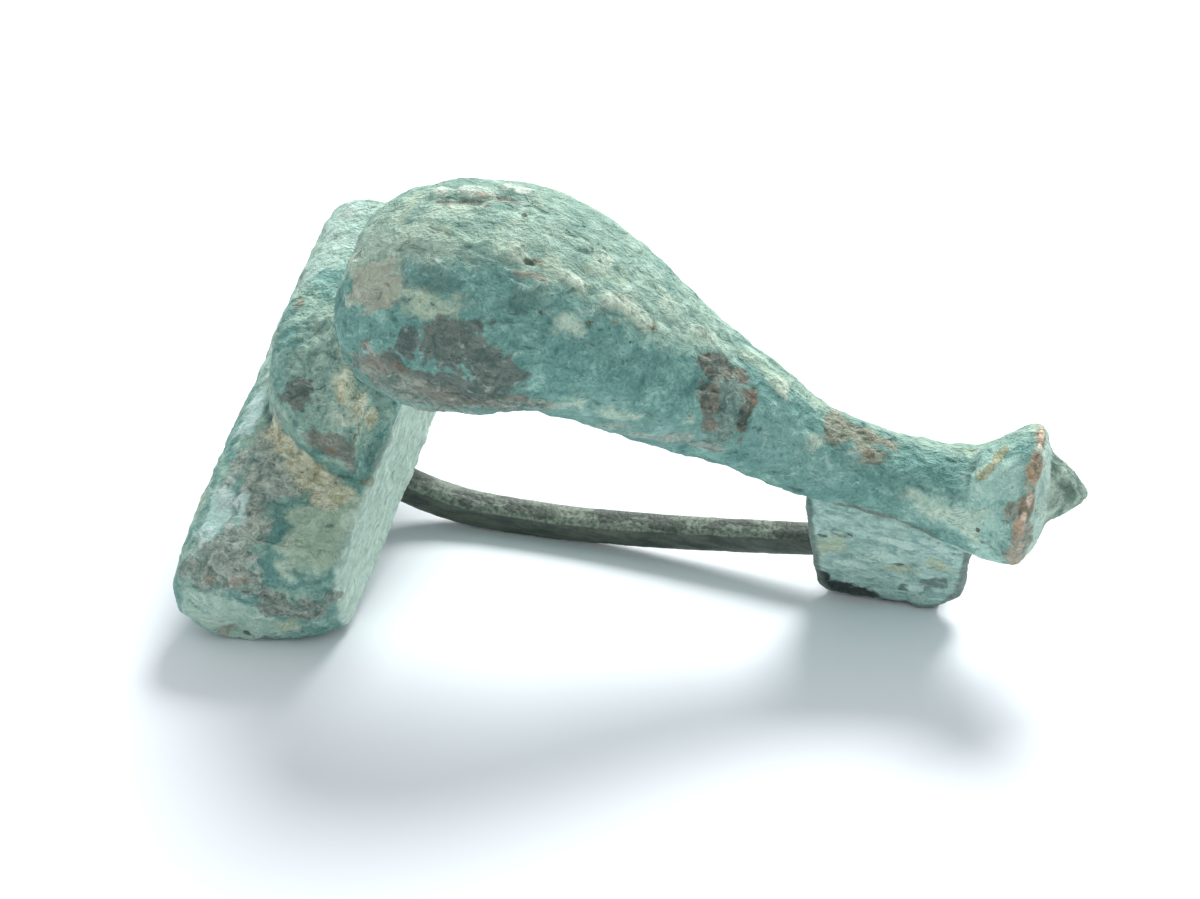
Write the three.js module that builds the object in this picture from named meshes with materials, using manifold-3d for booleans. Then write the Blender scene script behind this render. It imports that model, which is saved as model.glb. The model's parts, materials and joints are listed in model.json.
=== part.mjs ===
// Roman bronze bow brooch (fibula) of the hinged T-headed kind, lying on a
// level surface the way it comes to rest: rolled onto the near end of its head,
// the belly of its pin and the foot of its catchplate.
//
// Brooch frame, mm: U runs from the head to the foot, V along the head,
// W towards the back of the bow. The origin is the middle of the head.
// The whole brooch is then turned into the rest pose and set down on Z = 0.
import * as THREE from "three";
import { mergeVertices } from "three/addons/utils/BufferGeometryUtils.js";
import Module from "manifold-3d";

// ---------------------------------------------------------------- dimensions
// Rest pose, degrees: roll about the length, then pitch of the foot.
const REST_ROLL = 22.507;
const REST_PITCH = 4.622;

// Head: a thick cross bar, flat on its inner side, rounded over the top.
const HEAD_HALF_LENGTH = 14.45;
const HEAD_FRONT = 5.1; // half-depth towards the foot, before it is flattened
const HEAD_BACK = 5.0; // on the near half, before its taper
const HEAD_BACK_FAR = 5.25;
const HEAD_TOP = 3.9;
const HEAD_BOTTOM = 3.05;
const HEAD_BOTTOM_FAR = 2.65; // past the hinge the underside is shallower
const HEAD_TAPER = 0.07; // loss of size from the middle to the near end
const HEAD_FAR_SHORTER = 0.5; // the far half is a little shorter, and untapered
const HEAD_FULL_HALF = 6.0; // the section is at its full size this far each way
const HEAD_END_SLANT = 0.2; // the ends are cut back towards the inner face
const FACE_U = 4.54; // flat inner face of the head and of the bow's root

// Collar: an oval moulding round the root of the bow, leaning forward.
const COLLAR_U = 2.7;
const COLLAR_W = 4.5;
const COLLAR_TILT = 34; // degrees from level, dipping towards the foot
const COLLAR_ALONG = 6.0; // half-axes of the rim
const COLLAR_ACROSS = 7.1;
const COLLAR_FRONT = 0.66; // its foot-side half is this much shorter than the other
const CORNER_START = [2.6, 4.7]; // V, W where its flank starts to turn into the face

// Bow: centre line and half-axes at stations from the bulb to the foot.
//   [U, W, half-width V, half-depth]
const BOW = [
  [1.75, 12.15, 1.8, 1.2],
  [2.0, 12.1, 3.2, 2.3],
  [2.8, 12.0, 4.7, 3.5],
  [4.3, 11.8, 5.75, 4.72],
  [6.2, 11.65, 6.35, 5.4],
  [8.6, 12.0, 6.5, 5.3],
  [11.2, 12.45, 6.48, 4.75],
  [14.0, 11.85, 5.66, 4.1],
  [17.0, 10.22, 4.8, 3.66],
  [20.0, 8.56, 3.87, 3.06],
  [23.0, 7.16, 3.18, 2.56],
  [26.0, 5.48, 2.65, 2.18],
  [29.0, 4.72, 2.37, 2.06],
  [31.6, 4.4, 2.32, 1.88],
  [34.6, 3.9, 2.82, 2.2],
  [36.6, 4.1, 3.15, 2.8],
  [37.6, 4.35, 3.3, 2.95],
];

// Terminal: a disc across the end of the foot, low-coned in front, and a blunt
// knob that stands a little off its middle.
const TERMINAL_U = 37.95;
const TERMINAL_W = 5.05;
const DISC_RADIUS = 3.78;
const KNOB_OFFSET = [0.2, 0.5]; // V, W
const KNOB_LIFT = 5; // degrees its axis points up
const KNOB_RADIUS = 2.0;
const KNOB_LENGTH = 3.12; // from the middle of the disc to the tip

// Catchplate: a plate under the foot, its lower edge turned up on the far side.
const PLATE_NEAR = -1.3; // V of the near face
const PLATE_THICK = 0.95;
const PLATE_OUTLINE = [
  [26.75, 3.6],
  [26.75, 1.6],
  [27.1, -0.6],
  [27.85, -4.6],
  [28.5, -5.2],
  [33.9, -4.85],
  [34.9, -4.2],
  [35.75, -3.2],
  [35.9, 1.0],
  [35.85, 3.6],
];
const FOLD_FAR = 2.75; // V of the far side of the turned-up lip
const FOLD_THICK = 0.8;
const FOLD_TOP = -2.2; // W of the top of the lip
const FOLD_FLOOR = -4.05; // W of the bottom of the channel

// Hinge: a pin-axle along the head, near its underside.
const AXLE_U = -0.5;
const AXLE_W = -1.75;
const AXLE_RADIUS = 0.55;
const AXLE_HALF_LENGTH = 13.7;
const BORE_RADIUS = 0.82;
const SLOT_V = [-0.9, 1.8];
const SLOT_U = [-3.6, 2.7];
const SLOT_TOP = 0.1;

// Pin: an eye round the axle, then a shank that drops out of the head, bellies
// down and rises into the catch.
const EYE_RADIUS = 1.5;
const EYE_V = [-0.55, 1.45];
const PIN_RADIUS = 1.02;
const PIN_TIP_RADIUS = 0.42;
//   [U, V, W]
const PIN_PATH = [
  [-0.1, 0.45, -2.6],
  [0.95, 0.45, -4.05],
  [2.9, 0.45, -5.42],
  [5.2, 0.45, -6.3],
  [8.0, 0.45, -6.64],
  [13.0, 0.5, -6.28],
  [18.0, 0.6, -5.45],
  [23.0, 0.7, -4.38],
  [28.0, 0.8, -3.2],
  [31.5, 0.82, -2.55],
  [33.8, 0.85, -2.2],
];

const RING = 28; // points round the bow and the head

// ------------------------------------------------------------------- helpers
const wasm = await Module();
wasm.setup();

const V3 = (u, v, w) => new THREE.Vector3(u, v, w);
const lerp = THREE.MathUtils.lerp;
const rad = THREE.MathUtils.degToRad;

// A closed solid from rings of the same number of points, capped at both ends.
function loft(rings) {
  const n = rings[0].length;
  const position = [];
  for (const ring of rings) for (const p of ring) position.push(p.x, p.y, p.z);
  const index = [];
  for (let r = 0; r + 1 < rings.length; r++) {
    for (let i = 0; i < n; i++) {
      const j = (i + 1) % n;
      const a = r * n + i;
      const b = r * n + j;
      index.push(a, b, a + n, b, b + n, a + n);
    }
  }
  for (const [ring, out] of [
    [0, false],
    [rings.length - 1, true],
  ]) {
    const middle = rings[ring]
      .reduce((sum, p) => sum.add(p), V3(0, 0, 0))
      .divideScalar(n);
    const c = position.length / 3;
    position.push(middle.x, middle.y, middle.z);
    for (let i = 0; i < n; i++) {
      const a = ring * n + i;
      const b = ring * n + ((i + 1) % n);
      if (out) index.push(c, a, b);
      else index.push(c, b, a);
    }
  }
  const geometry = new THREE.BufferGeometry();
  geometry.setAttribute(
    "position",
    new THREE.Float32BufferAttribute(position, 3),
  );
  geometry.setIndex(index);
  return geometry;
}

function toSolid(geometry) {
  const bare = geometry.clone();
  for (const name of ["normal", "uv"]) bare.deleteAttribute(name);
  const merged = mergeVertices(bare, 1e-4);
  const make = (order) => {
    const triVerts = new Uint32Array(merged.index.array);
    if (order)
      for (let i = 0; i < triVerts.length; i += 3)
        [triVerts[i + 1], triVerts[i + 2]] = [triVerts[i + 2], triVerts[i + 1]];
    return new wasm.Manifold(
      new wasm.Mesh({
        numProp: 3,
        vertProperties: merged.attributes.position.array,
        triVerts,
      }),
    );
  };
  const solid = make(false);
  return solid.volume() < 0 ? make(true) : solid;
}

function toGeometry(solid) {
  const mesh = solid.getMesh();
  const geometry = new THREE.BufferGeometry();
  const position = new Float32Array(mesh.numVert * 3);
  for (let i = 0; i < mesh.numVert; i++)
    for (let k = 0; k < 3; k++)
      position[i * 3 + k] = mesh.vertProperties[i * mesh.numProp + k];
  geometry.setAttribute("position", new THREE.BufferAttribute(position, 3));
  geometry.setIndex(new THREE.BufferAttribute(new Uint32Array(mesh.triVerts), 1));
  geometry.computeVertexNormals();
  return geometry;
}

// A box from its corners.
function box(u, v, w) {
  const geometry = new THREE.BoxGeometry(u[1] - u[0], v[1] - v[0], w[1] - w[0]);
  geometry.translate((u[0] + u[1]) / 2, (v[0] + v[1]) / 2, (w[0] + w[1]) / 2);
  return geometry;
}

// A round bar along V, centred on (U, W).
function barAlongV(radius, from, to, u, w, sides) {
  const geometry = new THREE.CylinderGeometry(radius, radius, to - from, sides);
  geometry.translate(u, (from + to) / 2, w);
  return geometry;
}

// Cubic interpolation of the columns of a table, at a fractional row.
function sample(table, row) {
  const i = Math.min(Math.floor(row), table.length - 2);
  const t = row - i;
  const at = (k) => table[Math.min(Math.max(k, 0), table.length - 1)];
  const [a, b, c, d] = [at(i - 1), at(i), at(i + 1), at(i + 2)];
  return b.map((_, k) => {
    const m0 = (c[k] - a[k]) / 2;
    const m1 = (d[k] - b[k]) / 2;
    const t2 = t * t;
    const t3 = t2 * t;
    return (
      (2 * t3 - 3 * t2 + 1) * b[k] +
      (t3 - 2 * t2 + t) * m0 +
      (3 * t2 - 2 * t3) * c[k] +
      (t3 - t2) * m1
    );
  });
}

// A rounded section: |x|^e + |y|^e = 1.
function rounded(angle, e) {
  const c = Math.cos(angle);
  const s = Math.sin(angle);
  return [
    Math.sign(c) * Math.abs(c) ** (2 / e),
    Math.sign(s) * Math.abs(s) ** (2 / e),
  ];
}

// ---------------------------------------------------------------------- head
// Section of the bar in (U, W), counted round from the inner top edge.
const HEAD_SECTION = [
  [1.0, 0.8],
  [0.94, 0.9],
  [0.8, 0.975],
  [0.6, 1.0],
  [0.35, 1.01],
  [0.08, 1.0],
  [-0.2, 0.975],
  [-0.45, 0.92],
  [-0.66, 0.82],
  [-0.82, 0.65],
  [-0.93, 0.43],
  [-0.99, 0.18],
  [-1.0, -0.08],
  [-0.98, -0.35],
  [-0.92, -0.62],
  [-0.82, -0.83],
  [-0.67, -0.95],
  [-0.45, -1.0],
  [-0.15, -1.01],
  [0.2, -1.01],
  [0.5, -1.0],
  [0.75, -0.98],
  [0.9, -0.93],
  [1.0, -0.82],
  [1.0, -0.5],
  [1.0, -0.15],
  [1.0, 0.2],
  [1.0, 0.52],
];

function headRing(v) {
  const { smoothstep } = THREE.MathUtils;
  const near = v < 0;
  const a = Math.abs(v) / HEAD_HALF_LENGTH;
  const full = HEAD_FULL_HALF / HEAD_HALF_LENGTH;
  const away = Math.max(0, (a - full) / (1 - full));
  const size = near ? 1 - HEAD_TAPER * away ** 1.6 : 1;
  const past = smoothstep(v, 1, 3.5);
  const back = near ? HEAD_BACK * (1 - 0.05 * away) : lerp(HEAD_BACK, HEAD_BACK_FAR, past);
  const bottom = lerp(HEAD_BOTTOM, HEAD_BOTTOM_FAR, past);
  // the ends are domed, the near one the rounder; both keep low, so that the
  // underside stays full
  const start = near ? 12.6 : 13.2;
  const end = Math.max(0, (Math.abs(v) - start) / (HEAD_HALF_LENGTH - start));
  const dome = Math.sqrt(Math.max(0, 1 - end ** 2.6)) * 0.6 + 0.4;
  const pivot = near ? [-0.2, -1.5] : [-0.6, -1.2];
  // and their corners are worn rounder, most of all below
  const worn = smoothstep(a, 0.8, 1);
  return HEAD_SECTION.map(([x, y]) => {
    const corner = y < 0 || !near ? 0.55 : 0.15;
    const round = lerp(1, 1 / Math.hypot(x, y), worn * corner);
    let u = x * round * (x > 0 ? HEAD_FRONT : back) * size;
    let w = y * round * (y > 0 ? HEAD_TOP : bottom) * size;
    u = pivot[0] + (u - pivot[0]) * dome;
    w = pivot[1] + (w - pivot[1]) * dome;
    const slant = HEAD_END_SLANT * (u + 1) * smoothstep(a, 0.6, 1);
    const shorter = near ? 0 : (HEAD_FAR_SHORTER * v) / HEAD_HALF_LENGTH;
    return V3(u, v - shorter - Math.sign(v) * slant, w);
  });
}

const headStations = [];
for (const v of [0, 1.5, 3.5, 6, 8, 10, 11.6, 12.6, 13.2, 13.65, 14.0, 14.25, 14.4, 14.45])
  headStations.push(v);
const headRings = [
  ...headStations
    .slice(1)
    .reverse()
    .map((v) => headRing(-v)),
  ...headStations.map((v) => headRing(v)),
];

// ----------------------------------------------------------- collar and neck
// Ovals square to an axis that leans forward: the root inside the head, the
// rounded rim, then a hollow flank that closes in on the bulb.
//   [height along the axis, half-axis along, half-axis across]
const COLLAR = [
  [-4.6, 4.2, 5.6],
  [-3.0, 4.9, 6.1],
  [-1.6, 5.4, 6.5],
  [-0.95, 5.75, 6.8],
  [-0.45, 5.96, 7.04],
  [0.05, COLLAR_ALONG, COLLAR_ACROSS],
  [0.5, 5.85, 6.93],
  [0.95, 5.45, 6.5],
  [1.6, 4.8, 5.95],
  [2.4, 4.35, 5.55],
  [3.4, 3.95, 5.2],
  [4.6, 3.55, 4.85],
  [6.0, 3.1, 4.15],
];
const tilt = rad(COLLAR_TILT);
const collarAlong = V3(Math.cos(tilt), 0, -Math.sin(tilt));
const collarAxis = V3(Math.sin(tilt), 0, Math.cos(tilt));
const collarRings = COLLAR.map(([height, along, across]) => {
  const centre = V3(COLLAR_U, 0, COLLAR_W).addScaledVector(collarAxis, height);
  return Array.from({ length: 44 }, (_, i) => {
    const [x, y] = rounded((i / 44) * 2 * Math.PI, 2.0);
    const reach = x > 0 ? along * COLLAR_FRONT : along;
    return centre
      .clone()
      .addScaledVector(collarAlong, x * reach)
      .add(V3(0, y * across, 0));
  });
});

// ----------------------------------------------------------------------- bow
const bowRings = [];
const BOW_STEPS = 3;
for (let k = 0; k <= (BOW.length - 1) * BOW_STEPS; k++) {
  const row = k / BOW_STEPS;
  const [u, w, halfV, halfD] = sample(BOW, row);
  const before = sample(BOW, Math.max(0, row - 0.25));
  const after = sample(BOW, Math.min(BOW.length - 1, row + 0.25));
  const along = V3(after[0] - before[0], 0, after[1] - before[1]).normalize();
  const up = V3(-along.z, 0, along.x);
  // fuller shoulders along the tapering part of the bow
  const e = lerp(2.05, 2.35, Math.min(1, Math.max(0, (u - 9) / 8)));
  bowRings.push(
    Array.from({ length: RING }, (_, i) => {
      const [x, y] = rounded((i / RING) * 2 * Math.PI, e);
      return V3(u, x * halfV, w).addScaledVector(up, y * halfD);
    }),
  );
}

// ------------------------------------------------------------------ terminal
// A solid turned round the line along +U through (U, V, W).
//   profile: [radius, distance along the line]
function turned(profile, sides, at, lift = 0) {
  const geometry = new THREE.LatheGeometry(
    profile.map(([r, h]) => new THREE.Vector2(r, h)),
    sides,
  );
  geometry.rotateZ(-Math.PI / 2); // its axis now runs along +U
  geometry.rotateY(-rad(lift));
  geometry.translate(...at);
  return geometry;
}
const disc = turned(
  [
    [0, -2.9],
    [1.9, -2.75],
    [2.3, -2.25],
    [2.75, -1.7],
    [3.2, -1.1],
    [3.55, -0.6],
    [DISC_RADIUS * 0.985, -0.25],
    [DISC_RADIUS, -0.02],
    [DISC_RADIUS * 0.975, 0.2],
    [DISC_RADIUS * 0.9, 0.42],
    [2.65, 0.85],
    [2.1, 1.08],
    [1.4, 1.2],
    [0, 1.22],
  ],
  36,
  [TERMINAL_U, 0, TERMINAL_W],
);
const knob = turned(
  [
    [0, 0.3],
    [KNOB_RADIUS * 1.02, 0.4],
    [KNOB_RADIUS, 0.85],
    [KNOB_RADIUS * 0.87, 1.3],
    [KNOB_RADIUS * 0.65, 1.9],
    [KNOB_RADIUS * 0.45, 2.45],
    [KNOB_RADIUS * 0.28, 2.85],
    [KNOB_RADIUS * 0.13, KNOB_LENGTH - 0.06],
    [0, KNOB_LENGTH],
  ],
  28,
  [TERMINAL_U, KNOB_OFFSET[0], TERMINAL_W + KNOB_OFFSET[1]],
  KNOB_LIFT,
);

// ---------------------------------------------------------------- catchplate
// An outline in (U, W) with some thickness along V, edges slightly eased.
function plate(outline, nearV, thickness, ease) {
  const shape = new THREE.Shape(
    outline.map(([u, w]) => new THREE.Vector2(u, w)),
  );
  const geometry = new THREE.ExtrudeGeometry(shape, {
    depth: thickness - 2 * ease,
    bevelEnabled: true,
    bevelThickness: ease,
    bevelSize: ease,
    bevelOffset: -ease,
    bevelSegments: 1,
    steps: 1,
  });
  geometry.rotateX(Math.PI / 2); // outline in (U, W), thickness along -V
  geometry.translate(0, nearV + thickness - ease, 0);
  return geometry;
}
const web = plate(PLATE_OUTLINE, PLATE_NEAR, PLATE_THICK, 0.18);
// The turned-up fold: a channel section swept along the plate's lower edge.
const foldSection = [
  [PLATE_NEAR + 0.2, FOLD_FLOOR + 0.15],
  [PLATE_NEAR + 0.12, -4.9],
  [PLATE_NEAR + 0.75, -5.28],
  [0.6, -5.3],
  [FOLD_FAR - 0.75, -5.05],
  [FOLD_FAR, -4.3],
  [FOLD_FAR, FOLD_TOP + 0.15],
  [FOLD_FAR - 0.15, FOLD_TOP],
  [FOLD_FAR - FOLD_THICK + 0.15, FOLD_TOP],
  [FOLD_FAR - FOLD_THICK, FOLD_TOP - 0.15],
  [FOLD_FAR - FOLD_THICK, FOLD_FLOOR + 0.35],
  [FOLD_FAR - FOLD_THICK - 0.35, FOLD_FLOOR],
];
const foldRings = [
  [28.55, 0.9],
  [28.85, 0],
  [31.4, -0.02],
  [33.6, -0.3],
  [34.75, -0.75],
].map(([u, dip]) =>
  foldSection.map(([v, w]) => V3(u + (w + 5) * -0.06, v, w - dip * 0.35)),
);

// ----------------------------------------------------------- casting, joined
// everything in front of the inner face
const inFront = toSolid(box([FACE_U, FACE_U + 12], [-16, 16], [-20, 30]));
const head = toSolid(loft(headRings)).subtract(inFront);

// everything past a plane that eases the corner between the collar's flank and
// the inner face, on the near (-1) or the far (+1) side
function corner(side) {
  const away = V3(0.925, 0.225 * side, 0.307).normalize();
  const geometry = box([0, 10], [-10, 10], [-10, 10]);
  geometry.applyQuaternion(
    new THREE.Quaternion().setFromUnitVectors(V3(1, 0, 0), away),
  );
  geometry.translate(FACE_U, CORNER_START[0] * side, CORNER_START[1]);
  return toSolid(geometry);
}
const collar = toSolid(loft(collarRings))
  .subtract(inFront)
  .subtract(corner(-1))
  .subtract(corner(1));
const casting = head
  .add(collar)
  .add(toSolid(loft(bowRings)))
  .add(toSolid(disc))
  .add(toSolid(knob))
  .add(toSolid(web))
  .add(toSolid(loft(foldRings)))
  .subtract(toSolid(barAlongV(BORE_RADIUS, -18, 18, AXLE_U, AXLE_W, 20)))
  .subtract(toSolid(box(SLOT_U, SLOT_V, [-6, SLOT_TOP])));

// ----------------------------------------------------------------------- pin
const pinRings = [];
for (let k = 0; k <= (PIN_PATH.length - 1) * 3; k++) {
  const row = k / 3;
  const [u, v, w] = sample(PIN_PATH, row);
  const before = sample(PIN_PATH, Math.max(0, row - 0.3));
  const after = sample(PIN_PATH, Math.min(PIN_PATH.length - 1, row + 0.3));
  const along = V3(
    after[0] - before[0],
    after[1] - before[1],
    after[2] - before[2],
  ).normalize();
  const side = V3(0, 1, 0).addScaledVector(along, -along.y).normalize();
  const up = new THREE.Vector3().crossVectors(along, side).negate();
  const t = THREE.MathUtils.clamp((u - 27) / 6.8, 0, 1);
  let r = lerp(PIN_RADIUS, PIN_RADIUS * 0.84, Math.min(1, Math.max(0, u / 27)));
  r = lerp(r, PIN_TIP_RADIUS, t ** 1.6);
  pinRings.push(
    Array.from({ length: 16 }, (_, i) => {
      const [x, y] = rounded(((i + 0.5) / 16) * 2 * Math.PI, 3.2);
      return V3(u, v, w)
        .addScaledVector(side, x * r * 0.9)
        .addScaledVector(up, y * r);
    }),
  );
}
const pin = toSolid(loft(pinRings))
  .add(toSolid(barAlongV(EYE_RADIUS, EYE_V[0], EYE_V[1], AXLE_U, AXLE_W, 24)))
  .subtract(toSolid(barAlongV(BORE_RADIUS, -4, 4, AXLE_U, AXLE_W, 20)));

// ---------------------------------------------------------------------- axle
const axle = barAlongV(
  AXLE_RADIUS,
  -AXLE_HALF_LENGTH,
  AXLE_HALF_LENGTH,
  AXLE_U,
  AXLE_W,
  16,
);

// ------------------------------------------------------------------ assembly
const bronze = new THREE.MeshStandardMaterial({
  color: 0x7fa79b,
  roughness: 0.82,
  metalness: 0.1,
});
const pinBronze = new THREE.MeshStandardMaterial({
  color: 0x5d6c66,
  roughness: 0.78,
  metalness: 0.15,
});
const rust = new THREE.MeshStandardMaterial({
  color: 0x7a5238,
  roughness: 0.9,
  metalness: 0.1,
});

function named(name, geometry, material) {
  const mesh = new THREE.Mesh(geometry, material);
  mesh.name = name;
  return mesh;
}

const brooch = new THREE.Group();
brooch.add(
  named("bow_casting", toGeometry(casting), bronze),
  named("hinge_axle", axle, rust),
  named("pin", toGeometry(pin), pinBronze),
);
brooch.rotation.set(rad(REST_ROLL), rad(REST_PITCH), 0, "YXZ");

// Set it down: lowest point on Z = 0, middle of the outline over the origin.
const placed = new THREE.Group();
placed.add(brooch);
placed.updateMatrixWorld(true);
const bounds = new THREE.Box3().setFromObject(placed, true);
brooch.position.set(
  -(bounds.min.x + bounds.max.x) / 2,
  -(bounds.min.y + bounds.max.y) / 2,
  -bounds.min.z,
);

export default placed;
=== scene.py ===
import json
import math

import bpy
import bmesh
import numpy as np
from mathutils import Matrix, Vector


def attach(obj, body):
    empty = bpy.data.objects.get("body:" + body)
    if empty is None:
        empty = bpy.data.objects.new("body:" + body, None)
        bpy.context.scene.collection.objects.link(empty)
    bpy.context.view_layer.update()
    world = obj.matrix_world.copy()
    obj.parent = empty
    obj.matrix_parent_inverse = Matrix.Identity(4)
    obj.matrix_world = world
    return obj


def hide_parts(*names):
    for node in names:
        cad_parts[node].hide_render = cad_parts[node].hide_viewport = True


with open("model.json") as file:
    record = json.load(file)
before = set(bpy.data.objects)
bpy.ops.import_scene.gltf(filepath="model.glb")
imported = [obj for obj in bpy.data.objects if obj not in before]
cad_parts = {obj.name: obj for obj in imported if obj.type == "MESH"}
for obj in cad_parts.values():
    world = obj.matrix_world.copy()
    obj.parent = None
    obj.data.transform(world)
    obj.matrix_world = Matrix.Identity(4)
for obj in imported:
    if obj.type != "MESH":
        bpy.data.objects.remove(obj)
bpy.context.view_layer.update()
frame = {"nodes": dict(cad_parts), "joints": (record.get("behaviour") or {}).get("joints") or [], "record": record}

MM = 0.001

# The brooch frame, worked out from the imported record.
HINGE_POINT = (-0.5, 0.45, -1.75)  # where the record's joint is, in (U, V, W)
hinge = frame["joints"][0]
inner_face = next(m for m in frame["record"]["mounts"] if m["name"] == "head_inner_face")
AXIS_V = Vector(hinge["axis"]).normalized()
AXIS_U = Vector(inner_face["axis"]).normalized()
AXIS_W = AXIS_U.cross(AXIS_V).normalized()
ORIGIN = Vector(hinge["pos_m"]) - MM * (
    HINGE_POINT[0] * AXIS_U + HINGE_POINT[1] * AXIS_V + HINGE_POINT[2] * AXIS_W
)


def place(u, v, w):
    """A point of the brooch frame, in metres in the row frame."""
    return ORIGIN + MM * (u * AXIS_U + v * AXIS_V + w * AXIS_W)


# ------------------------------------------------------------ node expressions
# A noise with another seed is looked up elsewhere: the step from seed to seed,
# and where seed 0 would be.
NOISE_STEP, NOISE_START = (7.3, 3.1, 11.7), (1.9, -5.7, 2.3)
CELL_STEP, CELL_START = (5.9, 2.3, 8.9), (0.7, 4.1, -3.3)

# The sockets of a Mix node that mixes colours.
MIX_SHARE, MIX_A, MIX_B, MIX_RESULT = 0, 6, 7, 2


class Value:
    """An output socket. Arithmetic on it adds Math nodes to its tree."""

    def __init__(self, maker, socket):
        self.maker = maker
        self.socket = socket

    def __add__(self, other):
        return self.maker.math("ADD", self, other)

    __radd__ = __add__

    def __sub__(self, other):
        return self.maker.math("SUBTRACT", self, other)

    def __rsub__(self, other):
        return self.maker.math("SUBTRACT", other, self)

    def __mul__(self, other):
        return self.maker.math("MULTIPLY", self, other)

    __rmul__ = __mul__

    def swing(self, reach):
        """A noise from 0 to 1, as one that swings about 0 and is reach from low to high."""
        return (self - 0.5) * reach


class Maker:
    """Adds nodes to one tree, of a material or of Geometry Nodes."""

    def __init__(self, tree):
        self.tree = tree

    def node(self, kind, settings=None, inputs=None, out=0):
        made = self.tree.nodes.new(kind)
        for name, value in (settings or {}).items():
            setattr(made, name, value)
        for name, value in (inputs or {}).items():
            if isinstance(value, Value):
                self.tree.links.new(value.socket, made.inputs[name])
            else:
                made.inputs[name].default_value = value
        return Value(self, made.outputs[out])

    def math(self, operation, *values):
        return self.node("ShaderNodeMath", {"operation": operation}, dict(enumerate(values)))

    def vector(self, operation, *values, out="Vector", **named):
        inputs = {**dict(enumerate(values)), **named}
        return self.node("ShaderNodeVectorMath", {"operation": operation}, inputs, out)

    def attribute(self, name):
        """A number kept on the mesh, for a material."""
        return self.node("ShaderNodeAttribute", {"attribute_name": name}, None, "Fac")

    def smooth(self, value, start, end, low=0.0, high=1.0):
        """low before start, high past end, and a soft step between them."""
        return self.node(
            "ShaderNodeMapRange",
            {"interpolation_type": "SMOOTHSTEP"},
            {"Value": value, "From Min": start, "From Max": end, "To Min": low, "To Max": high},
        )

    def joined(self, operation, values):
        """All of the values, by one operation after another."""
        total = values[0]
        for value in values[1:]:
            total = self.math(operation, total, value)
        return total

    def highest(self, *values):
        return self.joined("MAXIMUM", values)

    def lowest(self, *values):
        return self.joined("MINIMUM", values)

    def noise(self, at, size, seed, detail=3, rough=0.55, twist=0.0, stretch=(1, 1, 1), out=0):
        """Noise from 0 to 1. Its lumps are about size mm wide, times stretch along U, V and W."""
        scale = [1 / (size * s) for s in stretch]
        shift = [step * seed + start for step, start in zip(NOISE_STEP, NOISE_START)]
        moved = self.vector("MULTIPLY_ADD", at, scale, shift)
        inputs = {"Scale": 1.0, "Detail": detail, "Roughness": rough, "Distortion": twist}
        return self.node(
            "ShaderNodeTexNoise", {"noise_dimensions": "3D"}, {"Vector": moved, **inputs}, out
        )

    def cells(self, at, size, seed):
        """Distance to the nearest of points scattered about size mm apart, in parts of size."""
        shift = [step * seed + start for step, start in zip(CELL_STEP, CELL_START)]
        moved = self.vector("MULTIPLY_ADD", at, [1 / size] * 3, shift)
        return self.node(
            "ShaderNodeTexVoronoi",
            {"feature": "F1"},
            {"Vector": moved, "Scale": 1.0, "Randomness": 1.0},
            "Distance",
        )

    def from_spot(self, at, centre, half):
        """How far a place is from a spot's centre: 1 at its edge. half is one size or three."""
        if isinstance(half, float):
            return self.vector("DISTANCE", at, centre, out="Value") * (1 / half)
        away = self.vector("SUBTRACT", at, centre)
        return self.vector("LENGTH", self.vector("DIVIDE", away, half), out="Value")

    def mix(self, share, a, b):
        """Colour a turning into colour b as share goes from 0 to 1."""
        a, b = (c if isinstance(c, Value) else (*c, 1.0) for c in (a, b))
        return self.node(
            "ShaderNodeMix",
            {"data_type": "RGBA"},
            {MIX_SHARE: share, MIX_A: a, MIX_B: b},
            MIX_RESULT,
        )

    def brooch_frame(self, position):
        """A position socket in metres, as millimetres of the brooch frame."""
        moved = self.vector("SUBTRACT", position, ORIGIN)
        parts = [
            self.vector("DOT_PRODUCT", moved, axis / MM, out="Value")
            for axis in (AXIS_U, AXIS_V, AXIS_W)
        ]
        return self.node("ShaderNodeCombineXYZ", None, dict(enumerate(parts)))

    def split(self, vector):
        """The three numbers of a vector."""
        return [self.node("ShaderNodeSeparateXYZ", None, {0: vector}, k) for k in range(3)]


# --------------------------------------------------------------------- colours
LIT = 0.75  # how brightly the sides that face the camera are lit
PALEST = 0.9  # the most that a base colour may be


def linear(level):
    """A screen level from 0 to 1, as an amount of light: the sRGB curve."""
    return level / 12.92 if level <= 0.04045 else ((level + 0.055) / 1.055) ** 2.4


def seen(red, green, blue):
    """The base colour that shows on screen as the given one, 0 to 255, where it isn't too pale."""
    return tuple(min(PALEST, linear(level / 255) / LIT) for level in (red, green, blue))


# Pairs are for hollows and high points of a noise.
TEAL_SIDE = seen(78, 120, 114), seen(122, 164, 154)
PALE_BACK = seen(112, 144, 132), seen(158, 184, 167)
BACK_YELLOW = seen(168, 184, 160)
BACK_TEAL = seen(104, 140, 130)
INNER_FACE = seen(154, 176, 163), seen(186, 206, 194)
CATCHPLATE = seen(122, 158, 152), seen(172, 198, 188)
DISC = seen(136, 164, 153), seen(174, 196, 183)
KNOB = seen(86, 110, 98), seen(156, 176, 160)
GRIME = seen(88, 98, 90), seen(150, 156, 142)
# painted shade for the creases, in dark green
CREASE_SHADE = seen(58, 88, 82)
RUBBED = seen(176, 196, 180)
PLATE_EDGE = seen(74, 84, 80)
WORN_RIM = seen(124, 102, 80), seen(208, 178, 148)
# dark lines and specks of the scales, and painted shade in their hollows
DARK_MARK_AND_HOLLOW_SHADE = seen(58, 86, 78)
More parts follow.
